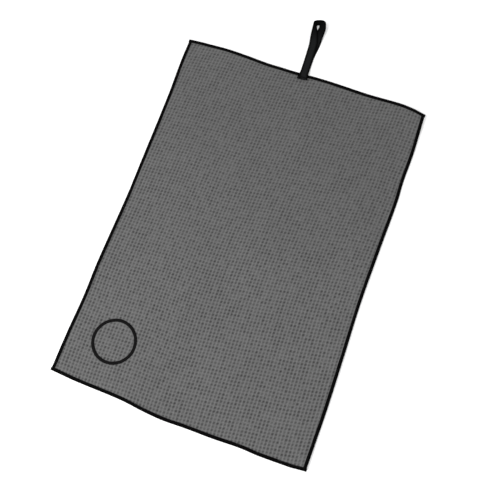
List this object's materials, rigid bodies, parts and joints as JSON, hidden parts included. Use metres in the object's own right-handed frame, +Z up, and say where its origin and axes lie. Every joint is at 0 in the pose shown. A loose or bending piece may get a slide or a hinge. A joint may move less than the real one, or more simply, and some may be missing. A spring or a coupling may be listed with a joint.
{
  "type": "golf towel",
  "caption": "Flat rectangular waffle-weave sports towel with an overlocked edge, a folding webbing hanging loop at one end and a plain embroidered ring.",
  "frame": {"origin": "centre of the cloth's underside, on the surface that the towel lies on", "axes": "+X across the towel, +Y along it towards the hanging loop, +Z up out of its face"},
  "size_m": [0.41, 0.6736, 0.0147],
  "materials": {
    "waffle_cloth": "grey waffle-weave microfibre, matt",
    "overlock_yarn": "black textured overlock yarn, matt",
    "sewing_thread": "black sewing thread, slight sheen",
    "webbing": "black woven tape, matt",
    "satin_thread": "black satin-stitch embroidery thread, soft sheen"
  },
  "bodies": {
    "towel": {"towel_cloth": "waffle_cloth", "overlock_top": "overlock_yarn", "overlock_bottom": "overlock_yarn", "overlock_left": "overlock_yarn", "overlock_right": "overlock_yarn", "needle_thread_top": "sewing_thread", "needle_thread_bottom": "sewing_thread", "needle_thread_left": "sewing_thread", "needle_thread_right": "sewing_thread", "loop_end_lower": "webbing", "loop_end_upper": "webbing", "loop_bartack": "sewing_thread", "loop_bartack_back": "sewing_thread", "emblem_satin": "satin_thread", "emblem_bobbin": "sewing_thread"},
    "loop": {"hang_loop": "webbing"}
  },
  "joints": [
    {"name": "loop_swing", "type": "hinge", "parent": "towel", "child": "loop", "pos_m": [-0.0019, 0.29015, 0.00585], "axis": [1, 0, 0], "range_deg": [0, 170]}
  ]
}
